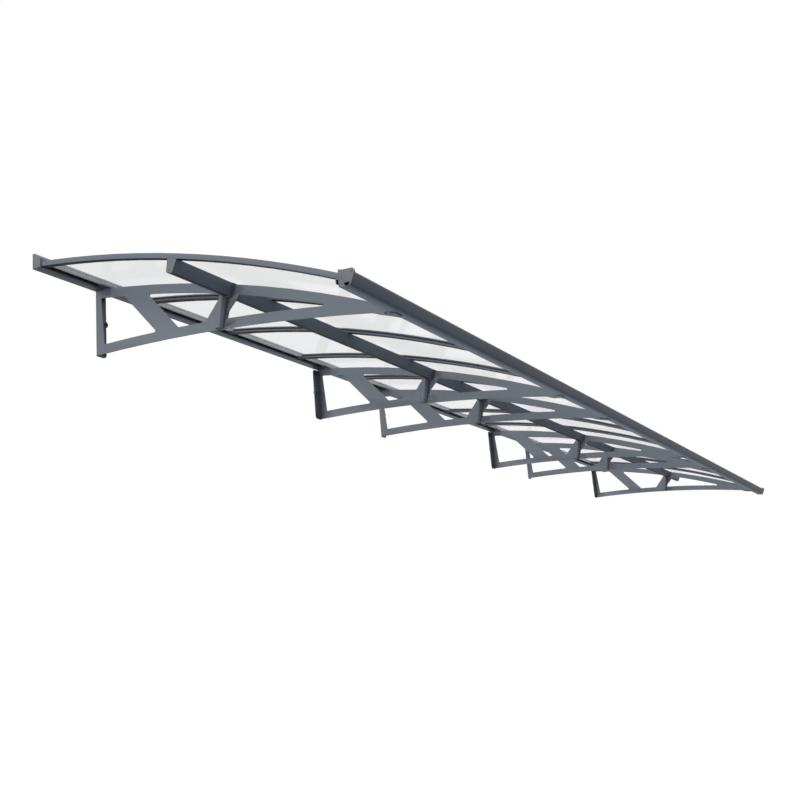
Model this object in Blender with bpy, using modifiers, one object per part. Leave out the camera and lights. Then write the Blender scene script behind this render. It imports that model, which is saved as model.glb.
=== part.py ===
"""Door canopy: clear arched panels on a wall rail, a beam, a gutter and cast brackets.

X runs along the wall, the wall is the plane Y = 0 with the canopy on its -Y side, and Z = 0 is
mid-height of the wall rail, at the middle of its length. Every section is drawn in the side
plane as (out, up): the distance out from the wall, and the height.
"""

import math

import bmesh
import bpy
from mathutils import Matrix, Vector

# Whole canopy, in metres
OVERALL_LENGTH = 6.690
TOTAL_DEPTH = 1.383
MODULE_COUNT = 3
PANELS_PER_MODULE = 4
FIT = 0.0003  # between two pieces that touch
SEAT_GAP = 0.0005  # between an arch and what it rests on
CAP_THICKNESS = 0.004
ROUNDING_STEP = math.radians(32)  # largest turn between two points of a rounded corner
SHARPEST_SMOOTH = math.radians(34)  # an edge that turns more than this is shown sharp

# Arch, the same for panels and profiles
ARCH_RADIUS = 4.845  # of its top edge
ARCH_CENTRE_BACK = 0.685  # behind the wall
ARCH_TOP_AT_WALL = -0.001
ARCH_HEIGHT = 0.019
ARCH_REAR_OUT = 0.012
ARCH_TO_NOSE = 0.041  # from its front end to the gutter cap's nose
ARCH_STEPS = 14

# Panels, and the profiles that hold their edges
PANEL_THICKNESS = 0.003
PANEL_PLAY = 0.002  # beside each edge, in its slot
PROFILE_CAP = 0.0055  # above the slot
SLOT_DEPTH = 0.014
JOINT_WEB = 0.006
SIDE_WIDTH = 0.025

# Wall rail
RAIL_HEIGHT = 0.0605
RAIL_DEPTH = 0.041
RAIL_WALL = 0.0026
RAIL_TOP_DEPTH = 0.0105
RAIL_SHOULDER_DROP = 0.0228  # from its top
RAIL_SHOULDER_BACK = 0.0025  # from its front
RAIL_NOSE_BACK = 0.0010
RAIL_NOSE_CLEARANCE = 0.0008  # above an arch
RAIL_EDGE_RADIUS = 0.003

# Beam, a tube that lies square to the arch
BEAM_OUT = 0.6695
BEAM_TOP_WIDTH = 0.0427
BEAM_BOTTOM_WIDTH = 0.0275
BEAM_HEIGHT = 0.0505
BEAM_WALL = 0.0025
BEAM_EDGE_RADIUS = 0.002

# Gutter
GUTTER_WIDTH = 0.0615  # with the nose of its caps
GUTTER_WALL = 0.0025
GUTTER_REAR_HEIGHT = 0.0270  # of the rear wall, below the arch
GUTTER_BELLY_OUT = 0.025  # from the rear wall to the lowest point
GUTTER_BELLY_DROP = 0.0035  # below the foot of the rear wall
GUTTER_FOOT_OUT = 0.0415  # from the rear wall to the foot of the front wall
GUTTER_FOOT_RADIUS = 0.014
GUTTER_NOSE_RISE = 0.0383  # from the lowest point to the foot of the nose
GUTTER_TIP_RISE = 0.0080
GUTTER_TIP_BACK = 0.0095
GUTTER_RETURN = 0.007
GUTTER_LIP_BACK = 0.0130  # behind the rear wall
GUTTER_LIP_DROP = 0.018
GUTTER_NOSE_RADIUS = 0.006

# End caps
GUTTER_CAP_PROUD = 0.0025  # in front of the gutter
GUTTER_CAP_NOSE_RISE = 0.0436  # from the lowest point to the foot of its nose
GUTTER_CAP_TIP_RISE = 0.0115
GUTTER_CAP_TIP_BACK = 0.0090
GUTTER_CAP_REAR_RISE = 0.0310  # above the foot of its arch seat
GUTTER_CAP_DIP_OUT = 0.018
GUTTER_CAP_DIP = 0.0045
GUTTER_CAP_DIP_RADIUS = 0.020
GUTTER_CAP_CORNER_RADIUS = 0.001
DRAIN_WIDTH = 0.021
DRAIN_HEIGHT = 0.010
DRAIN_OUT = 0.0290  # from the rear wall to its middle
DRAIN_RISE = 0.0030  # above the lowest point
DRAIN_EDGE_RADIUS = 0.004
DRAIN_CORNER_RADIUS = 0.001

# Sleeves inside the joints of the sections
RAIL_SPLICE_LENGTH = 0.120
RAIL_SPLICE_HEIGHT = 0.040
RAIL_SPLICE_THICKNESS = 0.0025
BEAM_SPLICE_LENGTH = 0.160
BEAM_SPLICE_WALL = 0.002
GUTTER_SPLICE_LENGTH = 0.100
GUTTER_SPLICE_WALL = 0.0015
GUTTER_SPLICE_RISE = 0.014

# Brackets, two to a module
BRACKET_FROM_MIDDLE = 0.796  # of its module
BRACKET_TOP_DROP = 0.0213  # below the arch's top edge
WEB_THICKNESS = 0.005
LEG_DROP = 0.2965  # below the rail's middle
LEG_WIDTH = 0.042  # at its foot
LEG_FRONT_ANGLE = math.radians(94.2)  # of its front edge
TOP_CHORD = 0.037
BOTTOM_CHORD = 0.038
BOTTOM_RADIUS = 7.41
DIAGONAL_OUT = 0.310  # where its rear edge meets the bottom chord
DIAGONAL_WIDTH = 0.075
DIAGONAL_ANGLE = math.radians(130.9)
POST_BACK = 0.1235  # of its rear edge on the bottom chord, behind the middle of the beam
POST_WIDTH = 0.068  # at its foot
POST_ANGLE = math.radians(48.4)
POST_FRONT_ANGLE = math.radians(44.1)  # of its front edge
HOLE_CORNER_RADIUS = 0.005
HOLE_SHOULDER_RADIUS = 0.060
HOLE_TIP_RADIUS = 0.004
BRACKET_EDGE_RADIUS = 0.003
CONTOUR_STEPS = 10
HOLE_STEPS = 4

# Bracket flange on the wall
FLANGE_WIDTH = 0.051
FLANGE_THICKNESS = 0.004
FLANGE_OVERHANG = 0.003  # below the leg
FLANGE_TOP_GAP = 0.004  # below the rail
FLANGE_CORNER_RADIUS = 0.014
SCREW_HOLE_DIAMETER = 0.0085
SCREW_INSET = 0.0365  # from the web to the screw line
TOP_SCREW_DROP = 0.022
BOTTOM_SCREW_RISE = 0.016
MIDDLE_SCREW_RISE = 0.140
BOSS_DIAMETER = 0.027
BOSS_THICKNESS = 0.009
BOSS_INSET = 0.0405
BOSS_SIDES = 20
SCREW_HOLE_SIDES = 12

# Bracket foot under the gutter, hook over the rail's lip, saddle and column at the beam
FOOT_BEND_BACK = 0.070  # behind the gutter
FOOT_BACK = 0.037  # behind it, at the web
FOOT_FAR_BACK = 0.002  # behind it, at the free edge
FOOT_FRONT = 0.018  # in front of the gutter's rear wall
FOOT_WIDTH = 0.045
FOOT_THICKNESS = 0.003
FOOT_BEND_RISE = 0.0148
HOOK_WIDTH = 0.060
HOOK_THICKNESS = 0.005
HOOK_REAR_OUT = 0.020
HOOK_REACH = 0.014  # in front of the rail
SADDLE_LENGTH = 0.036
SADDLE_WALL = 0.0025
SADDLE_SLOT_RISE = 0.020  # how far the beam's slot is cut above the beam
COLUMN_HALF_DEPTH = 0.020
COLUMN_FOOT_HALF_WIDTH = 0.020
COLUMN_HEAD_HALF_WIDTH = 0.028
COLUMN_FOOT_BACK = 0.0565  # behind the middle of the beam
COLUMN_HEAD_BACK = 0.014  # behind the middle of the beam's underside
COLUMN_SIDES = 20

# Places that follow from the sizes
SECTIONS_LENGTH = OVERALL_LENGTH - 2 * (CAP_THICKNESS + FIT)
MODULE_LENGTH = SECTIONS_LENGTH / MODULE_COUNT
PANEL_COUNT = MODULE_COUNT * PANELS_PER_MODULE
PANEL_PITCH = SECTIONS_LENGTH / PANEL_COUNT
SECTIONS_LEFT = -SECTIONS_LENGTH / 2
ARCH_CENTRE = Vector(
    (-ARCH_CENTRE_BACK, ARCH_TOP_AT_WALL - math.sqrt(ARCH_RADIUS**2 - ARCH_CENTRE_BACK**2))
)
ARCH_FRONT_OUT = TOTAL_DEPTH - ARCH_TO_NOSE
SLOT_HEIGHT = PANEL_THICKNESS + 2 * FIT
RAIL_BOTTOM = -RAIL_HEIGHT / 2
GUTTER_REAR = TOTAL_DEPTH - GUTTER_WIDTH

# Coated metal is one dark grey; its shade differs a little from piece to piece
RAIL_GREY = (0.105, 0.122, 0.145)
PROFILE_GREY = (0.115, 0.132, 0.152)
BEAM_GREY = (0.100, 0.117, 0.140)
GUTTER_GREY = (0.100, 0.118, 0.138)
BRACKET_GREY = (0.118, 0.134, 0.152)
CAP_GREY = (0.122, 0.137, 0.155)
SPLICE_GREY = (0.350, 0.360, 0.370)
CLEAR = (0.930, 0.940, 0.945)


def clear_scene():
    """Empties the scene."""
    for obj in list(bpy.data.objects):
        bpy.data.objects.remove(obj)


def material(name, colour, roughness, metallic, transmission=0.0):
    """A Principled BSDF material."""
    made = bpy.data.materials.new(name)
    made.use_nodes = True
    shader = made.node_tree.nodes["Principled BSDF"]
    shader.inputs["Base Color"].default_value = (*colour, 1.0)
    shader.inputs["Roughness"].default_value = roughness
    shader.inputs["Metallic"].default_value = metallic
    shader.inputs["Transmission Weight"].default_value = transmission
    return made


def arch_up(out, drop):
    """Height of the circle that lies drop below the arch's top edge."""
    radius = ARCH_RADIUS - drop
    return ARCH_CENTRE.y + math.sqrt(radius**2 - (out - ARCH_CENTRE.x) ** 2)


def seat_up(out):
    """Height of whatever an arch rests on."""
    return arch_up(out, ARCH_HEIGHT + SEAT_GAP)


def arch_angle(out):
    """Angle of a place on the arch, from straight up, towards the front."""
    return math.asin((out - ARCH_CENTRE.x) / ARCH_RADIUS)


def rounded(corners):
    """Outline through (out, up, radius) corners, each rounded to its radius."""
    points = []
    count = len(corners)
    for index, (out, up, radius) in enumerate(corners):
        corner = Vector((out, up))
        if radius == 0:
            points.append(corner)
            continue
        to_last = Vector(corners[index - 1][:2]) - corner
        to_next = Vector(corners[(index + 1) % count][:2]) - corner
        half = to_last.angle(to_next) / 2
        longest = 0.49 * min(to_last.length, to_next.length)  # so that two corners never meet
        reach = min(radius / math.tan(half), longest)
        middle = (to_last.normalized() + to_next.normalized()).normalized()
        centre = corner + middle * (reach / math.cos(half))
        start = corner + to_last.normalized() * reach - centre
        turn = start.angle_signed(corner + to_next.normalized() * reach - centre)
        steps = max(2, math.ceil(abs(turn) / ROUNDING_STEP))
        for step in range(steps + 1):
            points.append(centre + Matrix.Rotation(-turn * step / steps, 2) @ start)
    return points


def offset(path, distance):
    """Path moved to its right by a distance, its corners mitred."""
    moved = []
    last = len(path) - 1
    for index, point in enumerate(path):
        before = path[index - 1] if index > 0 else None
        after = path[index + 1] if index < last else None
        into = (point - before).normalized() if before else (after - point).normalized()
        onward = (after - point).normalized() if after else into
        rights = [Vector((into.y, -into.x)), Vector((onward.y, -onward.x))]
        bisector = (rights[0] + rights[1]).normalized()
        moved.append(point + bisector * distance / bisector.dot(rights[0]))
    return moved


def walled(corners, wall):
    """Outline of a wall of even thickness along an open run of rounded corners."""
    run = [Vector((out, up)) for out, up, _ in corners]
    behind = []
    for index, (place, (_, _, radius)) in enumerate(zip(offset(run, wall), corners)):
        if radius > 0:
            turn = (run[index] - run[index - 1]).cross(run[index + 1] - run[index])
            radius = radius + wall if turn > 0 else max(radius - wall, 0.0)
        behind.append((*place, radius))
    return rounded(corners) + rounded(behind)[::-1]


def solid(name, loops, length, matrix):
    """A flat outline with holes, extruded to a mesh object about its own plane."""
    curve = bpy.data.curves.new(name, "CURVE")
    curve.dimensions = "2D"
    curve.fill_mode = "BOTH"
    curve.extrude = length / 2
    for loop in loops:
        spline = curve.splines.new("POLY")
        spline.points.add(len(loop) - 1)
        for point, place in zip(spline.points, loop):
            point.co = (place[0], place[1], 0.0, 1.0)
        spline.use_cyclic_u = True
    drawn = bpy.data.objects.new(name + "_outline", curve)
    bpy.context.scene.collection.objects.link(drawn)
    bpy.context.view_layer.update()
    graph = bpy.context.evaluated_depsgraph_get()
    mesh = bpy.data.meshes.new_from_object(drawn.evaluated_get(graph))
    bpy.data.objects.remove(drawn)
    work = bmesh.new()
    work.from_mesh(mesh)
    bmesh.ops.remove_doubles(work, verts=work.verts, dist=1e-6)
    bmesh.ops.recalc_face_normals(work, faces=work.faces)
    work.transform(matrix)
    work.to_mesh(mesh)
    work.free()
    smooth(mesh)
    return placed(name, mesh)


def placed(name, mesh, location=(0.0, 0.0, 0.0)):
    """A mesh object in the scene's own collection."""
    mesh.name = name
    made = bpy.data.objects.new(name, mesh)
    made.location = location
    bpy.context.scene.collection.objects.link(made)
    return made


def smooth(mesh):
    """Smooth shading, with the real corners kept sharp."""
    mesh.shade_smooth()
    mesh.set_sharp_from_angle(angle=SHARPEST_SMOOTH)


def side_matrix(middle=0.0):
    """Turns a drawn outline so that its plane is square to X, at X = middle."""
    turn = Matrix(((0, 0, -1), (-1, 0, 0), (0, 1, 0))).to_4x4()
    return Matrix.Translation((middle, 0.0, 0.0)) @ turn


def extruded(name, loops, left, right):
    """A section drawn in the side plane, between two places along X."""
    return solid(name, loops, right - left, side_matrix((left + right) / 2))


def combined(base, others, operation):
    """The base with the others joined to it or cut from it; the others go."""
    for other in others:
        modifier = base.modifiers.new(other.name, "BOOLEAN")
        modifier.operation = operation
        modifier.solver = "EXACT"
        modifier.object = other
    bpy.context.view_layer.update()
    graph = bpy.context.evaluated_depsgraph_get()
    mesh = bpy.data.meshes.new_from_object(base.evaluated_get(graph))
    base.modifiers.clear()
    base.data = mesh
    for other in others:
        bpy.data.objects.remove(other)
    smooth(mesh)
    return base


def spun(name, section, left):
    """A closed (across, drop) section swept along the arch, from the rail to the gutter."""
    first, last = arch_angle(ARCH_REAR_OUT), arch_angle(ARCH_FRONT_OUT)
    work = bmesh.new()
    corners = [work.verts.new((across, 0.0, ARCH_RADIUS - drop)) for across, drop in section]
    face = work.faces.new(corners)
    bmesh.ops.rotate(work, verts=corners, matrix=Matrix.Rotation(first, 3, "X"))
    bmesh.ops.spin(
        work,
        geom=[*corners, *face.edges, face],
        cent=(0.0, 0.0, 0.0),
        axis=(1.0, 0.0, 0.0),
        angle=last - first,
        steps=ARCH_STEPS,
        use_duplicate=False,
    )
    bmesh.ops.recalc_face_normals(work, faces=work.faces)
    mesh = bpy.data.meshes.new(name)
    work.to_mesh(mesh)
    work.free()
    smooth(mesh)
    return placed(name, mesh, (left, -ARCH_CENTRE.x, ARCH_CENTRE.y))


def slotted(left_wall, right_wall, left_slot, right_slot):
    """Profile section with a slot for a panel's edge on either side."""
    slot_top, slot_bottom = PROFILE_CAP, PROFILE_CAP + SLOT_HEIGHT
    section = [(left_wall, 0.0), (right_wall, 0.0)]
    if right_slot:
        inner = right_wall - SLOT_DEPTH
        section += [(right_wall, slot_top), (inner, slot_top)]
        section += [(inner, slot_bottom), (right_wall, slot_bottom)]
    section += [(right_wall, ARCH_HEIGHT), (left_wall, ARCH_HEIGHT)]
    if left_slot:
        inner = left_wall + SLOT_DEPTH
        section += [(left_wall, slot_bottom), (inner, slot_bottom)]
        section += [(inner, slot_top), (left_wall, slot_top)]
    return section


def make_profiles():
    """Arched profiles: one at each end, and one between each two panels."""
    coat = material("profile_coat", PROFILE_GREY, 0.42, 0.35)
    side = slotted(0.0, SIDE_WIDTH, False, True)
    left = spun("side_profile_left", side, SECTIONS_LEFT)
    side = slotted(-SIDE_WIDTH, 0.0, True, False)
    right = spun("side_profile_right", side, -SECTIONS_LEFT)
    half = JOINT_WEB / 2 + SLOT_DEPTH
    joint = slotted(-half, half, True, True)
    made = [left, right]
    for index in range(1, PANEL_COUNT):
        name = f"joint_profile_{index:02d}"
        made.append(spun(name, joint, SECTIONS_LEFT + index * PANEL_PITCH))
    return finish(made, coat)


def make_panels():
    """Clear panels, each a thin arched sheet between two profiles."""
    clear = material("clear_panel", CLEAR, 0.06, 0.0, transmission=1.0)
    first, last = arch_angle(ARCH_REAR_OUT), arch_angle(ARCH_FRONT_OUT)
    radius = ARCH_RADIUS - PROFILE_CAP - FIT
    made = []
    for index in range(PANEL_COUNT):
        left = SECTIONS_LEFT + index * PANEL_PITCH + JOINT_WEB / 2 + PANEL_PLAY
        right = SECTIONS_LEFT + (index + 1) * PANEL_PITCH - JOINT_WEB / 2 - PANEL_PLAY
        if index == 0:
            left = SECTIONS_LEFT + SIDE_WIDTH - SLOT_DEPTH + PANEL_PLAY
        if index == PANEL_COUNT - 1:
            right = -SECTIONS_LEFT - SIDE_WIDTH + SLOT_DEPTH - PANEL_PLAY
        mesh = bpy.data.meshes.new("panel")
        rear = Matrix.Rotation(first, 4, "X") @ Vector((0.0, 0.0, radius))
        mesh.from_pydata([(left, *rear.yz), (right, *rear.yz)], [(0, 1)], [])
        panel = placed(f"panel_{index + 1:02d}", mesh, (0.0, -ARCH_CENTRE.x, ARCH_CENTRE.y))
        screw = panel.modifiers.new("arch", "SCREW")
        screw.axis = "X"
        screw.angle = last - first
        screw.steps = screw.render_steps = ARCH_STEPS
        screw.merge_threshold = 0.0001
        sheet = panel.modifiers.new("thickness", "SOLIDIFY")
        sheet.thickness = PANEL_THICKNESS
        sheet.offset = 1.0
        made.append(panel)
    return finish(made, clear)


def section_ends(index):
    """Where a module's length of rail, beam or gutter starts and ends."""
    left = SECTIONS_LEFT + index * MODULE_LENGTH
    return left + FIT / 2, left + MODULE_LENGTH - FIT / 2


def make_sections(stem, loops, coat):
    """One length of an extruded section for each module."""
    made = []
    for index in range(MODULE_COUNT):
        made.append(extruded(f"{stem}_{index + 1}", loops, *section_ends(index)))
    return finish(made, coat)


def make_caps(stem, loops, coat):
    """A flat cap with the section's outline at each end."""
    outer = OVERALL_LENGTH / 2
    inner = outer - CAP_THICKNESS
    left = extruded(f"{stem}_cap_left", loops, -outer, -inner)
    right = extruded(f"{stem}_cap_right", loops, inner, outer)
    return finish([left, right], coat)


def make_splices(stem, loops, length):
    """A sleeve inside the section, across each joint between two modules."""
    metal = material(f"{stem}_splice_metal", SPLICE_GREY, 0.45, 0.8)
    made = []
    for index in range(1, MODULE_COUNT):
        middle = SECTIONS_LEFT + index * MODULE_LENGTH
        name = f"{stem}_splice_{index}"
        made.append(extruded(name, loops, middle - length / 2, middle + length / 2))
    return finish(made, metal)


def rail_corners():
    """Outer corners of the rail, from its lip round its back to its nose."""
    top = RAIL_HEIGHT / 2
    nose_out = RAIL_DEPTH - RAIL_NOSE_BACK
    nose_up = arch_up(nose_out - RAIL_WALL, 0.0) + RAIL_NOSE_CLEARANCE
    return [
        (RAIL_DEPTH, seat_up(RAIL_DEPTH), 0.0),
        (RAIL_DEPTH, RAIL_BOTTOM, RAIL_EDGE_RADIUS),
        (0.0, RAIL_BOTTOM, 0.0),
        (0.0, top, 0.0),
        (RAIL_TOP_DEPTH, top, RAIL_EDGE_RADIUS),
        (RAIL_DEPTH - RAIL_SHOULDER_BACK, top - RAIL_SHOULDER_DROP, RAIL_EDGE_RADIUS),
        (nose_out, nose_up, 0.0),
    ]


def make_rail():
    """Channel that the wall holds: the arches lie on its lip, under its nose."""
    coat = material("rail_coat", RAIL_GREY, 0.45, 0.35)
    cap_coat = material("rail_cap_coat", CAP_GREY, 0.5, 0.0)
    corners = rail_corners()
    back = RAIL_WALL + FIT
    half = RAIL_SPLICE_HEIGHT / 2
    front = back + RAIL_SPLICE_THICKNESS
    splice = [Vector(place) for place in ((back, -half), (back, half), (front, half), (front, -half))]
    return (
        make_sections("wall_rail", [walled(corners, RAIL_WALL)], coat)
        + make_caps("wall_rail", [rounded(corners)], cap_coat)
        + make_splices("wall_rail", [splice], RAIL_SPLICE_LENGTH)
    )


def beam_outline(grow=0.0, rise=0.0, radius=0.0):
    """Beam section, square to the arch; grown all round, and its sides run on above its top."""
    lean = math.atan((BEAM_TOP_WIDTH - BEAM_BOTTOM_WIDTH) / 2 / BEAM_HEIGHT)
    side = grow / math.cos(lean)
    top = BEAM_TOP_WIDTH / 2 + side + rise * math.tan(lean)
    bottom = BEAM_BOTTOM_WIDTH / 2 + side - grow * math.tan(lean)
    drawn = [
        (-top, -rise, radius),
        (top, -rise, radius),
        (bottom, BEAM_HEIGHT + grow, radius),
        (-bottom, BEAM_HEIGHT + grow, radius),
    ]
    return [(*on_beam(across, down), corner) for across, down, corner in drawn]


def on_beam(across, down):
    """A place beside and below the middle of the beam's top, in the side plane."""
    angle = arch_angle(BEAM_OUT)
    down_way = Vector((-math.sin(angle), -math.cos(angle)))
    along = Vector((math.cos(angle), -math.sin(angle)))
    return Vector((BEAM_OUT, seat_up(BEAM_OUT))) + along * across + down_way * down


def make_beam():
    """Tube under the middle of the arches."""
    coat = material("beam_coat", BEAM_GREY, 0.42, 0.35)
    cap_coat = material("beam_cap_coat", CAP_GREY, 0.5, 0.0)
    outer = rounded(beam_outline(radius=BEAM_EDGE_RADIUS))
    inner, sleeve, core = (
        rounded(beam_outline(grow=-inset, rise=-inset))
        for inset in (BEAM_WALL, BEAM_WALL + FIT, BEAM_WALL + FIT + BEAM_SPLICE_WALL)
    )
    return (
        make_sections("beam", [outer, inner], coat)
        + make_caps("beam", [outer], cap_coat)
        + make_splices("beam", [sleeve, core], BEAM_SPLICE_LENGTH)
    )


def gutter_levels():
    """Heights of the foot of the gutter's rear wall and of its lowest point, both outside."""
    rear_foot = seat_up(GUTTER_REAR) - GUTTER_REAR_HEIGHT
    return rear_foot, rear_foot - GUTTER_BELLY_DROP


def gutter_corners(in_from):
    """Inner corners of the trough, from the foot of its rear wall to the tip of its nose."""
    rear_foot, belly = gutter_levels()
    nose_out = TOTAL_DEPTH - GUTTER_CAP_PROUD
    nose_up = belly + GUTTER_NOSE_RISE
    tip_up = nose_up + GUTTER_TIP_RISE - in_from
    return [
        (GUTTER_REAR + in_from, rear_foot + in_from, 0.0),
        (GUTTER_REAR + GUTTER_BELLY_OUT, belly + in_from, 0.0),
        (GUTTER_REAR + GUTTER_FOOT_OUT - in_from / 2, belly + in_from, GUTTER_FOOT_RADIUS),
        (nose_out - in_from, nose_up, GUTTER_NOSE_RADIUS),
        (nose_out - GUTTER_TIP_BACK, tip_up, GUTTER_NOSE_RADIUS),
    ]


def gutter_section():
    """Open trough with a seat for the arches behind it and a rolled nose in front."""
    seat_back = GUTTER_REAR - GUTTER_LIP_BACK
    seat_front = GUTTER_REAR + GUTTER_WALL
    trough = gutter_corners(GUTTER_WALL)
    tip_out, tip_up, _ = trough[-1]
    corners = [
        (seat_back, seat_up(seat_back) - GUTTER_LIP_DROP, 0.0),
        (seat_back, seat_up(seat_back), 0.0),
        (seat_front, seat_up(seat_front), 0.0),
        *trough,
        (tip_out - GUTTER_RETURN, tip_up - GUTTER_WALL / 2, 0.0),
    ]
    return walled(corners, GUTTER_WALL)


def gutter_cap():
    """Cap outline, which stands above the gutter's nose, and its drain hole."""
    belly = gutter_levels()[1]
    trough = gutter_corners(0.0)[:3]
    nose_up = belly + GUTTER_CAP_NOSE_RISE
    rear_top = seat_up(GUTTER_REAR) + GUTTER_CAP_REAR_RISE
    outline = rounded(
        [
            *trough,
            (TOTAL_DEPTH, nose_up, GUTTER_NOSE_RADIUS),
            (TOTAL_DEPTH - GUTTER_CAP_TIP_BACK, nose_up + GUTTER_CAP_TIP_RISE, GUTTER_NOSE_RADIUS),
            (GUTTER_REAR + GUTTER_CAP_DIP_OUT, rear_top - GUTTER_CAP_DIP, GUTTER_CAP_DIP_RADIUS),
            (GUTTER_REAR, rear_top, GUTTER_CAP_CORNER_RADIUS),
        ]
    )
    middle = GUTTER_REAR + DRAIN_OUT
    half = DRAIN_WIDTH / 2
    low = belly + DRAIN_RISE
    drain = rounded(
        [
            (middle - half, low + DRAIN_HEIGHT, DRAIN_CORNER_RADIUS),
            (middle + half, low + DRAIN_HEIGHT, DRAIN_CORNER_RADIUS),
            (middle + half - DRAIN_EDGE_RADIUS, low, DRAIN_EDGE_RADIUS),
            (middle - half + DRAIN_EDGE_RADIUS, low, DRAIN_EDGE_RADIUS),
        ]
    )
    return [outline, drain]


def gutter_liner():
    """Sleeve that bridges a joint of the gutter, in the bottom of the trough."""
    trough = gutter_corners(GUTTER_WALL + FIT)
    top = gutter_levels()[1] + GUTTER_WALL + GUTTER_SPLICE_RISE
    path = rounded([(trough[0][0], top, 0.0), *trough[:3], (*trough[3][:2], 0.0)])
    last, beyond = path[-2:]
    path[-1] = last.lerp(beyond, (top - last.y) / (beyond.y - last.y))
    return path + offset(path, -GUTTER_SPLICE_WALL)[::-1]


def make_gutter():
    """Trough along the front, which the arches and the brackets' feet carry."""
    coat = material("gutter_coat", GUTTER_GREY, 0.42, 0.35)
    cap_coat = material("gutter_cap_coat", CAP_GREY, 0.5, 0.0)
    return (
        make_sections("gutter", [gutter_section()], coat)
        + make_caps("gutter", gutter_cap(), cap_coat)
        + make_splices("gutter", [gutter_liner()], GUTTER_SPLICE_LENGTH)
    )


def bottom_centre():
    """Centre of the bottom chord's arc, through the leg's foot and the bend of the foot."""
    start = Vector((0.0, -LEG_DROP))
    end = Vector(foot_bend())
    middle = (start + end) / 2
    run = end - start
    back = math.sqrt(BOTTOM_RADIUS**2 - run.length_squared / 4)
    return middle + Vector((run.y, -run.x)).normalized() * back


def foot_line(out, below):
    """Height below the gutter's sloping bottom."""
    rear_foot, belly = gutter_levels()
    slope = (belly - rear_foot) / GUTTER_BELLY_OUT
    return rear_foot + slope * (out - GUTTER_REAR) - below


def foot_bend():
    """Where the bottom chord bends down to the foot."""
    foot_up = foot_line(GUTTER_REAR - FOOT_BACK, FIT + FOOT_THICKNESS)
    return GUTTER_REAR - FOOT_BEND_BACK, foot_up + FOOT_BEND_RISE


def crossing(start, angle, centre, radius):
    """Where a straight line, followed upwards, comes out of a circle."""
    along = Vector((math.cos(angle), math.sin(angle)))
    from_centre = start - centre
    half = from_centre.dot(along)
    reach = math.sqrt(half**2 - from_centre.length_squared + radius**2)
    return start + along * (reach - half)


def circles_meet(centre, radius, other, other_radius):
    """The meeting point of two circles that lies in front of both centres."""
    run = other - centre
    gap = run.length
    along = (radius**2 - other_radius**2 + gap**2) / (2 * gap)
    aside = math.sqrt(radius**2 - along**2)
    way = run / gap
    points = [
        centre + way * along + Vector((way.y, -way.x)) * aside,
        centre + way * along - Vector((way.y, -way.x)) * aside,
    ]
    return max(points, key=lambda point: point.x)


def arc_run(centre, radius, first_out, last_out, steps):
    """Points on a circle's upper side between two distances, without the end points."""
    points = []
    for step in range(1, steps):
        out = first_out + (last_out - first_out) * step / steps
        points.append((out, centre.y + math.sqrt(radius**2 - (out - centre.x) ** 2), 0.0))
    return points


def web_outline():
    """Outer contour of a bracket's web."""
    shelf = RAIL_BOTTOM - FIT
    hook_up = seat_up(RAIL_DEPTH) + FIT + HOOK_THICKNESS / 2
    hook_back = RAIL_DEPTH + FIT
    hook_front = RAIL_DEPTH + HOOK_REACH - BRACKET_EDGE_RADIUS
    top_radius = ARCH_RADIUS - BRACKET_TOP_DROP
    lip_out = GUTTER_REAR - GUTTER_LIP_BACK - FIT
    lip_up = seat_up(GUTTER_REAR - GUTTER_LIP_BACK) - GUTTER_LIP_DROP - FIT
    rear_out = GUTTER_REAR - FIT
    foot_back, foot_front = GUTTER_REAR - FOOT_BACK, GUTTER_REAR + FOOT_FRONT
    under = FIT + FOOT_THICKNESS
    bend_out, bend_up = foot_bend()
    return rounded(
        [
            (0.0, -LEG_DROP, BRACKET_EDGE_RADIUS),
            (0.0, shelf, 0.0),
            (hook_back, shelf, 0.0),
            (hook_back, hook_up, 0.0),
            (hook_front, hook_up, 0.0),
            (hook_front, arch_up(hook_front, BRACKET_TOP_DROP), 0.0),
            *arc_run(ARCH_CENTRE, top_radius, hook_front, lip_out, CONTOUR_STEPS),
            (lip_out, arch_up(lip_out, BRACKET_TOP_DROP), 0.0),
            (lip_out, lip_up, 0.0),
            (rear_out, lip_up, 0.0),
            (rear_out, foot_line(rear_out, FIT), 0.0),
            (foot_front, foot_line(foot_front, FIT), 0.0),
            (foot_front, foot_line(foot_front, under), 0.0),
            (foot_back, foot_line(foot_back, under), 0.0),
            (bend_out, bend_up, 0.0),
            *arc_run(bottom_centre(), BOTTOM_RADIUS, bend_out, 0.0, CONTOUR_STEPS),
        ]
    )


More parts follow.
